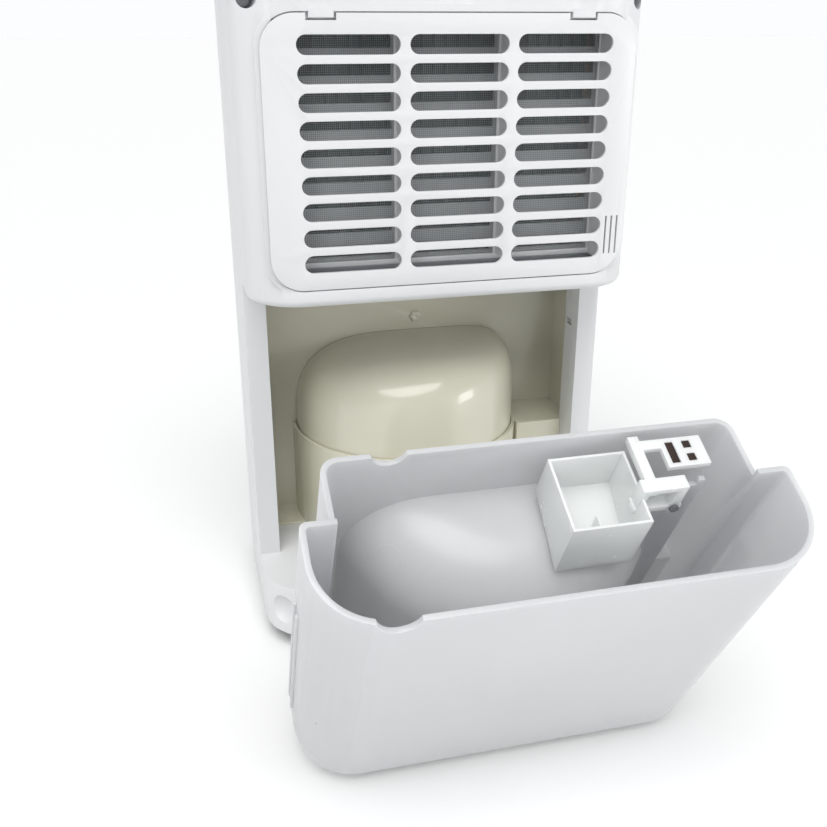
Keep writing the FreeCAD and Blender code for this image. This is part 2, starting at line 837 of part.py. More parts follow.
def make_button(index):
    x, y = button_places()[index]
    cap = cyl_z(button_radius, x, y, height - 4.0, height + 1.6)
    cap = cap.makeFillet(0.8, low_edges(cap, height + 1.6))
    flange = cyl_z(button_radius + 1.4, x, y, height - 4.0, height - 2.0)
    return fuse_all([cap, flange])


def make_control_board():
    z1 = height - 6.5
    board = box(-50.0, 58.0, panel_y0 + 3.5, depth - lid_inset - 0.5, z1 - 3.6, z1 - 2.0)
    switches = []
    for x, y in button_places():
        switches.append(box(x - 2.5, x + 2.5, y - 2.5, y + 2.5, z1 - 2.0, z1 + 1.0))
    return fuse_all([board] + switches)


# ---- sensors ----

def make_humidity_sensor():
    x = opening_half_width + liner_wall
    return box(x, x + 4.0, 12.0, 20.0, 294.0, 314.0)


def make_reed_switch():
    return box(76.0, 96.0, 99.0, 106.0, ceiling_z, ceiling_z + 5.0)


def make_power_board():
    y = bay_back_y + liner_wall
    pegs = []
    for x in (-100.0, -56.0):
        for z in (230.0, 258.0):
            pegs.append(cyl_y(2.0, x, z, y, y + 6.0))
    board = box(-106.0, -50.0, y + 6.0, y + 7.6, 226.0, 262.0)
    can = box(-96.0, -78.0, y + 7.6, y + 24.0, 232.0, 256.0)
    return fuse_all([board, can] + pegs)


# ---- tank, drawn in its seated place ----

def tank_prisms(inset, z0, front_top, rear_top):
    x = tank_half_width - inset
    front = rounded_prism(-x, x, inset, shoulder_y - inset, corner_tank_side - inset,
                          4.0 - inset / 2.0, z0, front_top)
    xr = tank_rear_half_width - inset
    rear = rounded_prism(-xr, xr, 45.0, tank_back_y - inset, 1.0, 10.0 - inset, z0, rear_top)
    return front, rear


def dome_room(grow, z0):
    # The room that the tank leaves for the compressor cover and the service box
    extra = dome_gap + grow
    dome = filleted_cylinder(skirt_radius + extra, dome_x, dome_y, z0, dome_top_z + extra,
                             dome_edge_round + 6.0 + grow)
    corner = box(service_box_x - 5.0 - grow, width, service_box_y - 5.0 - grow, depth,
                 z0, skirt_top_z + 5.0 + grow)
    return [dome, corner]


def make_tank_body():
    front, rear = tank_prisms(0.0, tank_floor_z, tank_rim_z, tank_rear_rim_z)
    front = front.makeFillet(7.0, bottom_front_edges(front))
    outer = front.fuse(rear)
    floor_z = tank_floor_z + tank_wall
    in_front, in_rear = tank_prisms(tank_wall, floor_z, tank_rim_z + 1.0, tank_rim_z + 1.0)
    hollow = in_front.fuse(in_rear).cut(dome_room(tank_wall, tank_floor_z - 5.0))
    tank = outer.cut(hollow).fuse(tank_ribs() + [float_plate()])
    tank = tank.cut(dome_room(0.0, tank_floor_z - 5.0))
    tank = tank.cut(tank_notches())
    return tank.cut(pin_hole()).removeSplitter()


def bottom_front_edges(front):
    found = []
    for edge in low_edges(front, tank_floor_z):
        if edge.BoundBox.YMin < shoulder_y - 10.0:
            found.append(edge)
    return found


def tank_ribs():
    # Guide ribs on both flanks, close behind the widest part of the tank
    ribs = []
    for side in (-1.0, 1.0):
        for y in (44.0, 52.0):
            xs = sorted((side * (tank_half_width - 1.0), side * half_width))
            ribs.append(box(xs[0], xs[1], y - 1.2, y + 1.2, 74.0, 196.0))
    return ribs


def tank_notches():
    notch = cyl_y(10.0, spout_x(), tank_rear_rim_z + 2.0, tank_back_y - 9.0, tank_back_y + 1.0)
    lip = cyl_y(11.0, -95.0, tank_rim_z + 2.0, -1.0, tank_wall + 8.0)
    return [notch, lip]


def float_plate():
    # A tongue of wall that carries the float's pin, with a small hook at its end
    x1 = float_pivot_x + 19.0
    y1 = float_plate_y + tank_wall
    plate = box(float_pivot_x - 13.0, x1, float_plate_y, y1, 130.0, float_pivot_z + 6.0)
    return plate.fuse(box(x1 - 3.5, x1, float_plate_y, y1, 130.0, float_pivot_z + 10.5))


def pin_hole():
    return cyl_y(pin_radius, float_pivot_x, float_pivot_z, float_plate_y - 1.0,
                 float_plate_y + tank_wall + 1.0)


def make_float_pin():
    y0 = float_plate_y - 9.0
    y1 = float_plate_y + tank_wall
    pin = cyl_y(pin_radius, float_pivot_x, float_pivot_z, y0, y1 + 1.5)
    head = cyl_y(pin_radius + 1.2, float_pivot_x, float_pivot_z, y0 - 1.2, y0)
    return fuse_all([pin, head])


def yz_prism(points, x0, x1):
    corners = [Vec(x0, y, z) for y, z in points]
    face = Part.Face(Part.makePolygon(corners + corners[:1]))
    return face.extrude(Vec(x1 - x0, 0, 0))


def make_float():
    # An open cup on one side of the pivot and the magnet's tongue on the other
    t = float_wall
    outer = yz_prism([(42.0, 210.5), (88.0, 222.0), (88.0, 252.0), (42.0, 252.0)], 6.0, 51.0)
    room = yz_prism([(42.0 + t, 213.0), (88.0 - t, 224.0), (88.0 - t, 254.0),
                     (42.0 + t, 254.0)], 6.0 + t, 51.0 - t)
    rib = box(28.0, 29.2, 43.0, 58.0, 213.0, 238.0)
    cup = outer.cut(room).fuse(rib)
    y0 = float_plate_y - 8.5
    y1 = float_plate_y - 0.5
    arm = box(48.0, float_pivot_x, y0, y1, float_pivot_z - 2.0, float_pivot_z + 2.0)
    hub = cyl_y(4.5, float_pivot_x, float_pivot_z, y0, y1)
    neck = box(float_pivot_x - 3.0, float_pivot_x + 3.0, y0, y1, float_pivot_z, 259.0)
    saddle = box(52.0, 58.0, y0, 92.0, 254.0, 259.0)
    link = box(52.0, float_pivot_x + 3.0, y0, y1, 255.0, 259.0)
    tongue = box(float_pivot_x - 4.0, float_pivot_x + 21.0, 69.0, 88.0, 256.5, 260.0)
    bridge = box(56.0, float_pivot_x, 82.0, 88.0, 256.5, 260.0)
    root = box(48.5, 53.0, y0, y1, 246.0, 259.0)
    lever = fuse_all([cup, arm, hub, neck, saddle, link, tongue, bridge, root])
    bore = cyl_y(pin_radius + pin_clearance, float_pivot_x, float_pivot_z, y0 - 1.0, y1 + 1.0)
    return lever.cut([bore] + magnet_blocks(261.0))


def magnet_blocks(z1):
    # One bar and two short blocks, each in its own pocket in the tongue
    x = float_pivot_x
    blocks = []
    for x0, x1, y0, y1 in ((-1.0, 4.0, 71.5, 85.5), (9.0, 14.0, 72.0, 77.0), (9.0, 14.0, 80.5, 85.5)):
        blocks.append(box(x + x0, x + x1, y0, y1, 257.5, z1))
    return blocks


def make_float_magnet():
    return group(magnet_blocks(259.4))


def drawn(shape):
    # Turns a tank piece from its seated place to the drawn-out rest position
    moved = shape.copy()
    moved.rotate(Vec(0, draw_axis_y, draw_axis_z), Vec(1, 0, 0), draw_angle)
    return moved


def build():
    parts = {
        "base": make_base(),
        "rubber_feet": make_feet(),
        "mains_gland": make_gland(),
        "rear_casing": make_rear_casing(),
        "front_casing": make_front_casing(),
        "casing_screws": make_casing_screws(),
        "bay_liner": make_bay_liner(),
        "compressor_cover": make_compressor_cover(),
        "liner_screw": make_liner_screw(),
        "filter_cover": make_filter_cover(),
        "filter_frame": make_filter_frame(),
        "filter_net": make_filter_net(),
        "filter_guard": make_filter_guard(),
        "evaporator": coil_fins(evaporator_y),
        "evaporator_bends": coil_bends(evaporator_y),
        "condenser": coil_fins(condenser_y),
        "condenser_bends": coil_bends(condenser_y),
        "drip_tray": make_drip_tray(),
        "compressor": make_compressor(),
        "compressor_mounts": make_compressor_mounts(),
        "suction_pipe": make_suction_pipe(),
        "discharge_pipe": make_discharge_pipe(),
        "filter_drier": make_filter_drier(),
        "fan_housing": make_fan_housing(),
        "fan_wheel": make_fan_wheel(),
        "fan_shaft": make_fan_shaft(),
        "fan_motor": make_fan_motor(),
        "top_cover": make_top_cover(),
        "outlet_grille": make_outlet_grille(),
        "outlet_flap": make_outlet_flap(),
        "control_panel": make_control_panel(),
        "display_lens": make_display_lens(),
        "control_board": make_control_board(),
        "humidity_sensor": make_humidity_sensor(),
        "reed_switch": make_reed_switch(),
        "power_board": make_power_board(),
        "tank_body": drawn(make_tank_body()),
        "float": drawn(make_float()),
        "float_magnet": drawn(make_float_magnet()),
        "float_pin": drawn(make_float_pin()),
    }
    for index in range(button_count):
        parts["control_button_%d" % (index + 1)] = make_button(index)
    return centred(parts)


def centred(parts):
    # Moves the whole along Y, so that the row's origin is under the middle of its box
    boxes = [shape.optimalBoundingBox(False, False) for shape in parts.values()]
    low = min(bounds.YMin for bounds in boxes)
    high = max(bounds.YMax for bounds in boxes)
    shift = -(low + high) / 2.0
    print("moved along Y by", round(shift, 4))
    for shape in parts.values():
        shape.translate(Vec(0, shift, 0))
    return parts


os.makedirs("parts", exist_ok=True)
for node, shape in build().items():
    shape.exportStep("parts/%s.step" % node)
    print(node, len(shape.Solids), round(shape.Volume / 1000.0, 1), shape.isValid())
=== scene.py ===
import bpy
import bmesh
import math
import json
import numpy as np
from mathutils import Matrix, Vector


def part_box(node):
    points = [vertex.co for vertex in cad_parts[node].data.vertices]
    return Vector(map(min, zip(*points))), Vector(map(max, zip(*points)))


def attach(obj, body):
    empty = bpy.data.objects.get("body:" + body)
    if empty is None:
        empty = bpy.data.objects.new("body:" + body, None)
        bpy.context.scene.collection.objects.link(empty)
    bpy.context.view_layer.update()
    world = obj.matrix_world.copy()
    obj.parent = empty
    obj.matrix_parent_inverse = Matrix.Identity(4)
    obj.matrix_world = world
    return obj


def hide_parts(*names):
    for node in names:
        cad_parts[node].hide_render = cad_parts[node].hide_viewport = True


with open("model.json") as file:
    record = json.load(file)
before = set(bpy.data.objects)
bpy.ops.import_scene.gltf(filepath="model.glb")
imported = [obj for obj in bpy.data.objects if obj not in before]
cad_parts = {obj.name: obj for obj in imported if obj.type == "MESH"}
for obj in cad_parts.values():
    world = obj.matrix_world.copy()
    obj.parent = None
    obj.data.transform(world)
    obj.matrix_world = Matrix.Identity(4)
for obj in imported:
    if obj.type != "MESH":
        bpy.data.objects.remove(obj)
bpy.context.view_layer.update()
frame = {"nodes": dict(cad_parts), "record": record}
print("stage: frame loaded, %d nodes" % len(frame["nodes"]))

bodyOf = {}
for bodyName, nodeNames in frame["record"]["behaviour"]["bodies"].items():
    for nodeName in nodeNames:
        bodyOf[nodeName] = bodyName
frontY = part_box("rear_casing")[0][1]  # the front plane of the tank side, metres

# Places are metres from the middle of the unit's front plane at floor level
cameraView = {"place": (-0.1795, -0.6066, 0.4395), "pitch": 22.1, "heading": 14.1, "lens": 42.05}


def fromFront(place):
    return (place[0], place[1] + frontY, place[2])


def makeCamera(view):
    data = bpy.data.cameras.new("studioCamera")
    data.lens = view["lens"]
    data.sensor_width = 36.0
    data.clip_start = 0.01
    camera = bpy.data.objects.new("studioCamera", data)
    camera.location = fromFront(view["place"])
    camera.rotation_euler = (math.radians(90.0 - view["pitch"]), 0.0, -math.radians(view["heading"]))
    bpy.context.scene.collection.objects.link(camera)
    bpy.context.scene.camera = camera


def makeAreaLight(name, place, target, size, watts, colour):
    data = bpy.data.lights.new(name, "AREA")
    data.shape = "RECTANGLE"
    data.size, data.size_y = size
    data.energy = watts
    data.color = colour
    lamp = bpy.data.objects.new(name, data)
    aim = np.array(target, float) - np.array(place, float)
    lamp.location = fromFront(place)
    lamp.rotation_euler = (math.atan2(math.hypot(aim[0], aim[1]), -aim[2]), 0.0,
                           math.atan2(aim[1], aim[0]) - math.pi / 2.0)
    bpy.context.scene.collection.objects.link(lamp)


studio = {
    "floorTone": (0.93, 0.93, 0.93), "floorRoughness": 0.85, "floorReach": 30.0,
    "skyTone": (0.97, 0.985, 1.0),
    "skyStrength": 0.45,
    "horizonStrength": 1.0,
    "horizonBand": (0.12, 0.30),  # sines of the heights where the band starts to fade and ends
    "sun": {"height": 58.0, "heading": 18.0, "spread": 50.0, "strength": 2.3,
            "colour": (1.0, 0.995, 0.985)},
    "lamps": [  # name, place, target, size, watts, colour
        ("frontSoftbox", (-1.0, -1.7, 0.75), (0.0, 0.05, 0.25), (0.9, 0.7), 1.4, (1.0, 1.0, 1.0)),
        ("rightSoftbox", (1.16, -0.94, 0.33), (0.02, 0.05, 0.17), (0.48, 0.36), 3.2,
         (1.0, 1.0, 1.0)),
    ],
}


def makeSky(facts):
    # Brighter just over the horizon, so that the floor runs into it without an edge
    world = bpy.data.worlds.new("studioWorld")
    bpy.context.scene.world = world
    world.use_nodes = True
    tree = world.node_tree
    background = tree.nodes["Background"]
    background.inputs["Color"].default_value = (*facts["skyTone"], 1.0)
    split = tree.nodes.new("ShaderNodeSeparateXYZ")
    tree.links.new(tree.nodes.new("ShaderNodeTexCoord").outputs["Generated"], split.inputs[0])
    band = addNode(tree, "ShaderNodeMapRange", interpolation_type="SMOOTHSTEP")
    band.inputs["From Min"].default_value, band.inputs["From Max"].default_value = facts["horizonBand"]
    band.inputs["To Min"].default_value = facts["horizonStrength"]
    band.inputs["To Max"].default_value = facts["skyStrength"]
    tree.links.new(split.outputs["Z"], band.inputs["Value"])
    tree.links.new(band.outputs["Result"], background.inputs["Strength"])


def makeSun(facts):
    data = bpy.data.lights.new("broadSun", "SUN")
    data.energy = facts["strength"]
    data.angle = math.radians(facts["spread"])
    data.color = facts["colour"]
    lamp = bpy.data.objects.new("broadSun", data)
    lamp.rotation_euler = (math.radians(90.0 - facts["height"]), 0.0, -math.radians(facts["heading"]))
    bpy.context.scene.collection.objects.link(lamp)


def makeStudio(facts):
    makeSky(facts)
    makeSun(facts["sun"])
    for lamp in facts["lamps"]:
        makeAreaLight(*lamp)
    mesh = bpy.data.meshes.new("floor")
    r = facts["floorReach"]
    mesh.from_pydata([(-r, -r, 0), (r, -r, 0), (r, r, 0), (-r, r, 0)], [], [(0, 1, 2, 3)])
    floor = bpy.data.objects.new("floor", mesh)
    bpy.context.scene.collection.objects.link(floor)
    floor.data.materials.append(plainFinish("floorPaper", facts["floorTone"], facts["floorRoughness"]))
    print("stage: studio lit")


def newMaterial(name):
    material = bpy.data.materials.new(name)
    material.use_nodes = True
    tree = material.node_tree
    return material, tree, tree.nodes["Principled BSDF"]


def plainFinish(name, tone, roughness):
    material, tree, shader = newMaterial(name)
    shader.inputs["Base Color"].default_value = (*tone, 1.0)
    shader.inputs["Roughness"].default_value = roughness
    return material


def addNode(tree, kind, **values):
    node = tree.nodes.new(kind)
    for key, value in values.items():
        if key in node.inputs:
            node.inputs[key].default_value = value
        else:
            setattr(node, key, value)
    return node


def placeNode(tree):
    for node in tree.nodes:
        if node.bl_idname == "ShaderNodeTexCoord":
            return node
    return tree.nodes.new("ShaderNodeTexCoord")


def objectNoise(tree, scale, detail=3.0, stretch=None):
    # Noise over the piece's own place in metres, stretched along an axis where it is given
    noise = addNode(tree, "ShaderNodeTexNoise", Scale=scale, Detail=detail)
    place = placeNode(tree).outputs["Object"]
    if stretch is not None:
        mapping = addNode(tree, "ShaderNodeMapping", Scale=stretch)
        tree.links.new(place, mapping.inputs["Vector"])
        place = mapping.outputs["Vector"]
    tree.links.new(place, noise.inputs["Vector"])
    return noise


def ramp(tree, source, low, high, start=0.3, end=0.7):
    node = tree.nodes.new("ShaderNodeValToRGB")
    node.color_ramp.elements[0].position = start
    node.color_ramp.elements[1].position = end
    node.color_ramp.elements[0].color = (*low, 1.0)
    node.color_ramp.elements[1].color = (*high, 1.0)
    tree.links.new(source, node.inputs["Fac"])
    return node


def spread(tree, source, low, high):
    node = tree.nodes.new("ShaderNodeMapRange")
    node.inputs["To Min"].default_value = low
    node.inputs["To Max"].default_value = high
    tree.links.new(source, node.inputs["Value"])
    return node.outputs["Result"]


def bumpOver(tree, height, strength, distance, under=None):
    bump = addNode(tree, "ShaderNodeBump", Strength=strength, Distance=distance)
    tree.links.new(height, bump.inputs["Height"])
    if under is not None:
        tree.links.new(under, bump.inputs["Normal"])
    return bump.outputs["Normal"]


def ringMark(tree, centre, radius, width):
    # One where the distance from the centre is within half a width of the radius, else zero
    away = addNode(tree, "ShaderNodeVectorMath", operation="DISTANCE")
    tree.links.new(placeNode(tree).outputs["Object"], away.inputs[0])
    away.inputs[1].default_value = centre
    off = addNode(tree, "ShaderNodeMath", operation="SUBTRACT")
    tree.links.new(away.outputs["Value"], off.inputs[0])
    off.inputs[1].default_value = radius
    size = addNode(tree, "ShaderNodeMath", operation="ABSOLUTE")
    tree.links.new(off.outputs[0], size.inputs[0])
    mark = addNode(tree, "ShaderNodeMapRange", interpolation_type="SMOOTHSTEP")
    mark.inputs["From Min"].default_value = width * 0.5
    mark.inputs["From Max"].default_value = 0.0
    tree.links.new(size.outputs[0], mark.inputs["Value"])
    return mark.outputs["Result"]


def mouldedPlastic(name, facts):
    # Injection-moulded plastic: slow drift of tone and gloss, fine grain in the bump,
    # faint sink waves and the round marks of the ejector pins
    material, tree, shader = newMaterial(name)
    tone = facts["tone"]
    drift = facts.get("drift", 0.012)
    low = tuple(max(0.0, c * (1.0 - drift)) for c in tone)
    high = tuple(min(1.0, c * (1.0 + drift)) for c in tone)
    slow = objectNoise(tree, facts.get("driftScale", 9.0), 2.0)
    colour = ramp(tree, slow.outputs["Fac"], low, high)
    tree.links.new(colour.outputs["Color"], shader.inputs["Base Color"])
    gloss = objectNoise(tree, 60.0, 4.0)
    roughness = facts["roughness"]
    vary = facts.get("glossDrift", 0.15)
    tree.links.new(spread(tree, gloss.outputs["Fac"], roughness * (1.0 - vary),
                          roughness * (1.0 + vary)), shader.inputs["Roughness"])
    waves = objectNoise(tree, 14.0, 1.0)
    normal = bumpOver(tree, waves.outputs["Fac"], facts.get("wave", 0.02), 0.002)
    for centre, radius in facts.get("pinMarks", []):
        ring = ringMark(tree, centre, radius, 0.0012)
        normal = bumpOver(tree, ring, 0.35, 0.0003, normal)
    grain = objectNoise(tree, 1500.0, 2.0)
    normal = bumpOver(tree, grain.outputs["Fac"], facts.get("grain", 0.1), 0.0002, normal)
    tree.links.new(normal, shader.inputs["Normal"])
    shader.inputs["IOR"].default_value = 1.48
    shader.inputs["Coat Weight"].default_value = facts.get("coat", 0.0)
    shader.inputs["Coat Roughness"].default_value = facts.get("coatRoughness", 0.1)
    if "glow" in facts:
        shader.inputs["Subsurface Weight"].default_value = facts["glow"]
        shader.inputs["Subsurface Radius"].default_value = (1.0, 1.0, 1.0)
        shader.inputs["Subsurface Scale"].default_value = facts.get("glowDepth", 0.004)
    return material


def drawnMetal(name, tone, roughness, metallic):
    # Metal with fine draw lines along one axis and a little tarnish
    material, tree, shader = newMaterial(name)
    shader.inputs["Metallic"].default_value = metallic
    lines = objectNoise(tree, 1.0, 3.0, (40.0, 40.0, 900.0))
    stain = objectNoise(tree, 35.0, 3.0)
    dark = tuple(c * 0.8 for c in tone)
    colour = ramp(tree, stain.outputs["Fac"], dark, tone)
    tree.links.new(colour.outputs["Color"], shader.inputs["Base Color"])
    tree.links.new(spread(tree, lines.outputs["Fac"], roughness * 0.8, roughness * 1.3),
                   shader.inputs["Roughness"])
    tree.links.new(bumpOver(tree, lines.outputs["Fac"], 0.1, 0.0002), shader.inputs["Normal"])
    return material


tankPinMarks = [  # place on the tank's bulge and radius, metres
    ((-0.0798, -0.1256, 0.1622), 0.0085),
    ((-0.0733, -0.1285, 0.1265), 0.0085),
]

plasticFinishes = {
    "casingWhite": {"tone": (0.675, 0.685, 0.695), "roughness": 0.36, "grain": 0.10},
    "coverWhite": {"tone": (0.685, 0.695, 0.70), "roughness": 0.32, "grain": 0.08},
    "guardGrey": {"tone": (0.60, 0.63, 0.65), "roughness": 0.45, "grain": 0.12},
    "linerCream": {"tone": (0.645, 0.625, 0.505), "roughness": 0.27, "grain": 0.02, "drift": 0.004,
                   "driftScale": 5.0, "wave": 0.003, "glossDrift": 0.03, "coat": 0.7,
                   "coatRoughness": 0.05, "glow": 0.06},
    "tankWhite": {"tone": (0.535, 0.545, 0.56), "roughness": 0.30, "grain": 0.04, "glow": 0.65,
                  "glowDepth": 0.02, "pinMarks": tankPinMarks},
    "floatMilky": {"tone": (0.84, 0.865, 0.86), "roughness": 0.26, "grain": 0.03, "glow": 0.5,
                   "glowDepth": 0.012},
    "greyPlastic": {"tone": (0.16, 0.165, 0.175), "roughness": 0.5, "grain": 0.3},
    "buttonGrey": {"tone": (0.45, 0.47, 0.50), "roughness": 0.4, "grain": 0.15},
    "lensDark": {"tone": (0.012, 0.014, 0.018), "roughness": 0.08, "grain": 0.0, "wave": 0.01,
                 "coat": 0.5, "coatRoughness": 0.03},
    "boardGreen": {"tone": (0.02, 0.12, 0.06), "roughness": 0.35, "drift": 0.15,
                   "driftScale": 300.0},
    # The net thread's mid grey is painted shade: the threads are a light grey-white, darkened here to
    # the tone they show in shadow
    "netThreadPaintedShade": {"tone": (0.33, 0.35, 0.345), "roughness": 0.5, "drift": 0.12,
                  "driftScale": 60.0, "grain": 0.1},
    "rubberBlack": {"tone": (0.018, 0.018, 0.018), "roughness": 0.75, "grain": 0.5, "drift": 0.1},
    "fanGrey": {"tone": (0.09, 0.095, 0.10), "roughness": 0.45, "grain": 0.2},
    # The evaporator fins' blue-green is their own coat; the deep darkness of the tone is painted
    # shade, the tone they show in shadow behind the net
    "finTealPaintedShade": {"tone": (0.07, 0.13, 0.14), "roughness": 0.4, "drift": 0.10, "grain": 0.05},
}

metalFinishes = {  # tone, roughness, how metallic
    "screwSteel": ((0.32, 0.32, 0.33), 0.38, 1.0),
    "finAluminium": ((0.60, 0.62, 0.64), 0.35, 1.0),
    "copperTube": ((0.72, 0.38, 0.22), 0.3, 1.0),
    "compressorBlack": ((0.02, 0.02, 0.02), 0.35, 0.2),
    "motorZinc": ((0.48, 0.50, 0.52), 0.32, 1.0),
    "magnetDark": ((0.045, 0.028, 0.022), 0.45, 0.4),
}


def makeFinishes():
    made = {name: mouldedPlastic(name, facts) for name, facts in plasticFinishes.items()}
    made.update({name: drawnMetal(name, *facts) for name, facts in metalFinishes.items()})
    print("stage: %d finishes" % len(made))
    return made


nodesOf = {
    "casingWhite": ["base", "rear_casing", "front_casing", "top_cover"],
    "coverWhite": ["filter_cover", "outlet_flap", "fan_housing", "drip_tray", "filter_frame"],
    "guardGrey": ["filter_guard"],
    "linerCream": ["bay_liner", "compressor_cover", "liner_screw"],
    "tankWhite": ["tank_body"],
    "floatMilky": ["float"],
    "greyPlastic": ["outlet_grille", "control_panel", "power_board", "reed_switch",
                    "humidity_sensor"],
    "lensDark": ["display_lens"],
    "boardGreen": ["control_board"],
    "netThreadPaintedShade": ["filter_net"],
    "rubberBlack": ["rubber_feet", "compressor_mounts", "mains_gland"],
    "screwSteel": ["casing_screws", "float_pin", "fan_shaft"],
    "finTealPaintedShade": ["evaporator"],
    "finAluminium": ["condenser"],
    "copperTube": ["evaporator_bends", "condenser_bends", "suction_pipe", "discharge_pipe",
                   "filter_drier"],
    "compressorBlack": ["compressor"],
    "motorZinc": ["fan_motor"],
    "fanGrey": ["fan_wheel"],
    "magnetDark": ["float_magnet"],
    "buttonGrey": ["control_button_1", "control_button_2", "control_button_3",
                   "control_button_4"],
}
finishOf = {nodeName: finish for finish, nodeNames in nodesOf.items() for nodeName in nodeNames}

softEdges = {  # edge rounding of each carried-over node, metres
    "rear_casing": 0.0009, "front_casing": 0.0008, "top_cover": 0.0008, "base": 0.0012,
    "bay_liner": 0.0016, "filter_cover": 0.0007, "filter_guard": 0.0004,
    "tank_body": 0.0010, "float": 0.0004, "outlet_flap": 0.0005, "outlet_grille": 0.0004,
    "control_panel": 0.0003, "display_lens": 0.0002, "filter_frame": 0.0004,
    "rubber_feet": 0.0006, "mains_gland": 0.0005, "float_magnet": 0.0003,
}


def copyOfNode(nodeName):
    # The node's loose triangles, merged, with flat stretches joined into whole faces
    mesh = frame["nodes"][nodeName].data.copy()
    work = bmesh.new()
    work.from_mesh(mesh)
    bmesh.ops.remove_doubles(work, verts=work.verts, dist=2e-6)
    bmesh.ops.dissolve_degenerate(work, dist=1e-6, edges=work.edges)
    bmesh.ops.dissolve_limit(work, angle_limit=math.radians(0.3), verts=work.verts,
                             edges=work.edges)
    work.to_mesh(mesh)
    work.free()
    return mesh


def softenNode(nodeName, width, finish):
    mesh = copyOfNode(nodeName)
    mesh.materials.clear()
    mesh.materials.append(finish)
    mesh.shade_smooth()
    piece = bpy.data.objects.new(nodeName + "_moulded", mesh)
    bpy.context.scene.collection.objects.link(piece)
    bevel = piece.modifiers.new("softEdge", "BEVEL")
    bevel.width = width
    bevel.segments = 3
    bevel.limit_method = "ANGLE"
    bevel.angle_limit = math.radians(32.0)
    bevel.harden_normals = True
    bevel.use_clamp_overlap = True
    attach(piece, bodyOf[nodeName])
    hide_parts(nodeName)


def dressNodes(finishes):
    for nodeName, node in frame["nodes"].items():
        node.data.materials.clear()
        node.data.materials.append(finishes[finishOf[nodeName]])
    for nodeName, width in softEdges.items():
        softenNode(nodeName, width, finishes[finishOf[nodeName]])
    print("stage: nodes dressed, %d of them with soft edges" % len(softEdges))


def gridFaces(rows, columns, closed=False):
    # Four-cornered faces between neighbouring rows and columns of a grid of points
    across = columns if closed else columns - 1
    i, j = np.meshgrid(np.arange(rows - 1), np.arange(across), indexing="ij")
    k = (j + 1) % columns
    corners = np.stack([i * columns + j, i * columns + k, (i + 1) * columns + k,
                        (i + 1) * columns + j], axis=-1)
    return corners.reshape(-1, 4)


def meshOf(name, points, faces):
    mesh = bpy.data.meshes.new(name)
    mesh.vertices.add(len(points))
    mesh.vertices.foreach_set("co", points.astype(np.float32).ravel())
    mesh.loops.add(faces.size)
    mesh.loops.foreach_set("vertex_index", faces.astype(np.int32).ravel())
    mesh.polygons.add(len(faces))
    mesh.polygons.foreach_set("loop_start", np.arange(0, faces.size, 4, dtype=np.int32))
    mesh.polygons.foreach_set("loop_total", np.full(len(faces), 4, dtype=np.int32))
    mesh.update(calc_edges=True)
    mesh.validate()
    return mesh


def tidyMesh(mesh):
    # Joins the points that coincide at seams and poles and turns the faces outwards
    work = bmesh.new()
    work.from_mesh(mesh)
    bmesh.ops.remove_doubles(work, verts=work.verts, dist=1e-6)
    bmesh.ops.dissolve_degenerate(work, dist=1e-7, edges=work.edges)
    bmesh.ops.recalc_face_normals(work, faces=work.faces)
    work.to_mesh(mesh)
    work.free()


def addPiece(name, mesh, finish, nodeName):
    mesh.materials.append(finish)
    mesh.shade_smooth()
    piece = bpy.data.objects.new(name, mesh)
    bpy.context.scene.collection.objects.link(piece)
    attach(piece, bodyOf[nodeName])
    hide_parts(nodeName)
    return piece


compressorDome = {
    "flange": 0.0005,     # how far the hidden flange stands out past the dome
    "rimRise": 0.006,     # from the flange's foot to the top of the skirt
    "middleBack": 0.009,  # from the dome's middle to the wall behind it
    "wall": 0.0022,
    "squareness": (3.0, 3.7, 6.5),  # of the shoulder on the left, in front and on the right
    "across": 120, "up": 46,
}


def makeCompressorDome(finishes):
    # Round the plan: a half circle with a straight run back to the wall at each end.
    # Up the side: the height h and the reach r keep (r/R)^n + (h/H)^n at one, where n
    # grows from the left shoulder to the right one, so that the right one is squarer.
    facts = compressorDome
    low, high = np.array(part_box("compressor_cover"))
    reach = (high[0] - low[0]) / 2.0 - facts["flange"]
    middleX = (high[0] + low[0]) / 2.0
    middleY = high[1] - facts["middleBack"]
    rimZ = low[2] + facts["rimRise"]
    rise = high[2] - rimZ
    runs = 5
    back = np.linspace(facts["middleBack"], 0.0, runs, endpoint=False)
    turn = np.linspace(0.0, math.pi, facts["across"])
    angle = np.concatenate([np.zeros(runs), turn, np.full(runs, math.pi)])
    behind = np.concatenate([back, np.zeros(facts["across"]), back[::-1]])
    left, front, right = facts["squareness"]
    n = np.interp(angle / math.pi, [0.0, 0.5, 1.0], [left, front, right])[None, :]
    t = np.linspace(0.0, math.pi / 2.0, facts["up"])[:, None]
    out = (np.cos(t) ** n + np.sin(t) ** n) ** (-1.0 / n)
    r = reach * out * np.cos(t)
    x = middleX - r * np.cos(angle)[None, :]
    y = middleY - r * np.sin(angle)[None, :] + behind[None, :]
    z = rimZ + rise * out * np.sin(t) + np.zeros_like(r)
    skirtRow = np.stack([x[0], y[0], np.full_like(x[0], low[2])], axis=-1)
    points = np.concatenate([skirtRow[None], np.stack([x, y, z], axis=-1)])
    rows, columns = points.shape[:2]
    mesh = meshOf("compressorDome", points.reshape(-1, 3), gridFaces(rows, columns))
    tidyMesh(mesh)
    topFace = max(mesh.polygons, key=lambda face: face.center.z)
    if topFace.normal.z < 0.0:
        mesh.flip_normals()
    piece = addPiece("compressorDome", mesh, finishes["linerCream"], "compressor_cover")
    shell = piece.modifiers.new("wall", "SOLIDIFY")
    shell.thickness = facts["wall"]
    shell.offset = -1.0
    print("stage: compressor dome, %d faces" % len(mesh.polygons))


linerBoss = {"lobes": 6, "lobeDepth": 0.13, "radius": 0.0046, "crown": 0.0012, "dimple": 0.0016,
             "dimpleDepth": 0.0008}


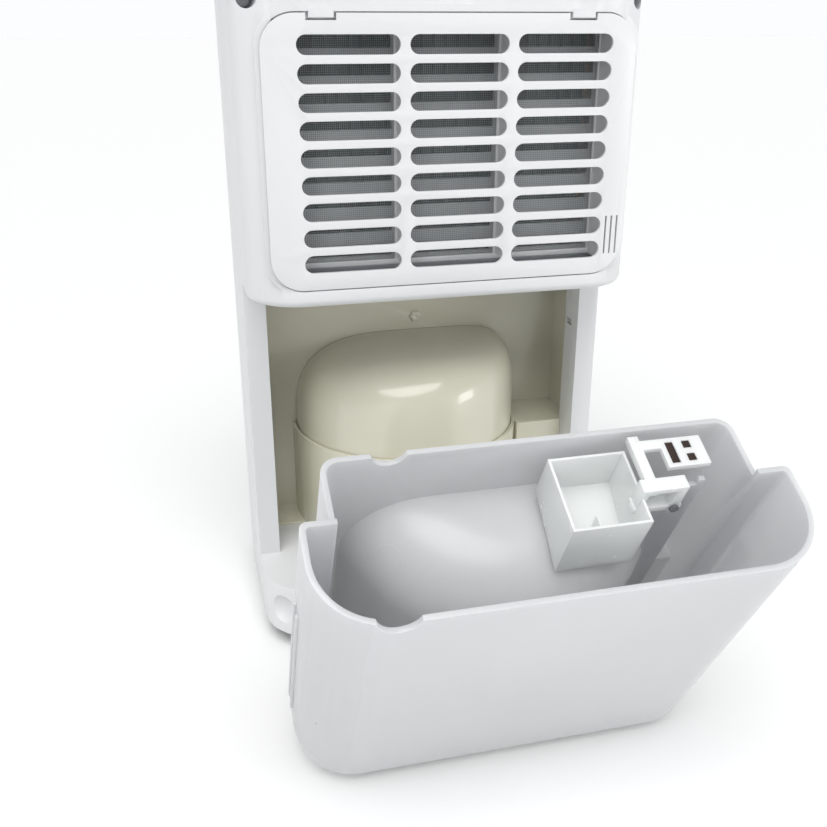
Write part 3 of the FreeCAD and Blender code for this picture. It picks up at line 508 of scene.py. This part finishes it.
def makeLinerBoss(finishes):
    # A plug turned about Y: its radius swells and shrinks six times round, and its face
    # is a shallow crown with a round dimple in the middle
    facts = linerBoss
    low, high = np.array(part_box("liner_screw"))
    middleX, middleZ = (low[0] + high[0]) / 2.0, (low[2] + high[2]) / 2.0
    turn = np.linspace(0.0, 2.0 * math.pi, 72, endpoint=False)[None, :]
    s = np.linspace(0.0, 1.0, 14)[:, None]
    lobe = 1.0 + facts["lobeDepth"] * np.cos(facts["lobes"] * turn) * s
    dimple = facts["dimpleDepth"] * np.exp(-(s * facts["radius"] / facts["dimple"]) ** 2)
    face = low[1] + facts["crown"] * s ** 4 + dimple
    radius = facts["radius"] * s * lobe
    ends = np.array([[high[1]]])
    radius = np.concatenate([radius, radius[-1:], 0.0 * radius[-1:]])
    depth = np.concatenate([face + 0.0 * turn, ends + 0.0 * turn, ends + 0.0 * turn])
    points = np.stack([middleX + radius * np.cos(turn), depth,
                       middleZ + radius * np.sin(turn)], axis=-1)
    rows, columns = points.shape[:2]
    mesh = meshOf("linerBoss", points.reshape(-1, 3), gridFaces(rows, columns, closed=True))
    tidyMesh(mesh)
    addPiece("linerBoss", mesh, finishes["linerCream"], "liner_screw")
    print("stage: liner boss")


filterNet = {
    "windows": 3, "windowWidth": 0.0646, "pitch": 0.0013, "threadRadius": 0.00017,
    "swing": 0.00018,
}


def threads(lines, stations, along, across, lift, radius):
    # Triangular threads: each runs along one axis and weaves up and down at every crossing
    corner = np.radians([90.0, 210.0, 330.0])
    points = np.zeros((len(lines), len(stations), 3, 3))
    weave = lift * np.where((np.arange(len(lines))[:, None] + np.arange(len(stations))) % 2, 1.0, -1.0)
    points[..., along] = stations[None, :, None]
    points[..., across] = lines[:, None, None] + radius * np.cos(corner)
    points[..., 1] = weave[..., None] + radius * np.sin(corner)
    flat = gridFaces(len(stations), 3, closed=True)
    step = len(stations) * 3 * np.arange(len(lines))[:, None, None]
    return points.reshape(-1, 3), (flat[None] + step).reshape(-1, 4)


def makeFilterNet(finishes):
    facts = filterNet
    low, high = np.array(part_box("filter_net"))
    shift = ((high[0] - low[0]) - facts["windowWidth"]) / (facts["windows"] - 1)
    middleY = (low[1] + high[1]) / 2.0
    total = 0
    for window in range(facts["windows"]):
        x0 = low[0] + window * shift
        columns = np.arange(x0 + facts["pitch"] / 2.0, x0 + facts["windowWidth"], facts["pitch"])
        rows = np.arange(low[2] + facts["pitch"] / 2.0, high[2], facts["pitch"])
        upright, uprightFaces = threads(columns, rows, 2, 0, facts["swing"], facts["threadRadius"])
        level, levelFaces = threads(rows, columns, 0, 2, -facts["swing"], facts["threadRadius"])
        points = np.concatenate([upright, level])
        points[:, 1] += middleY
        faces = np.concatenate([uprightFaces, levelFaces + len(upright)])
        mesh = meshOf("filterNet_%d" % (window + 1), points, faces)
        work = bmesh.new()
        work.from_mesh(mesh)
        bmesh.ops.recalc_face_normals(work, faces=work.faces)
        work.to_mesh(mesh)
        work.free()
        addPiece("filterNet_%d" % (window + 1), mesh, finishes["netThreadPaintedShade"], "filter_net")
        total += len(faces)
    print("stage: filter net, %d faces" % total)


makeCamera(cameraView)
bpy.context.scene.view_settings.view_transform = "Standard"
finishes = makeFinishes()
makeStudio(studio)
dressNodes(finishes)
makeCompressorDome(finishes)
makeLinerBoss(finishes)
makeFilterNet(finishes)
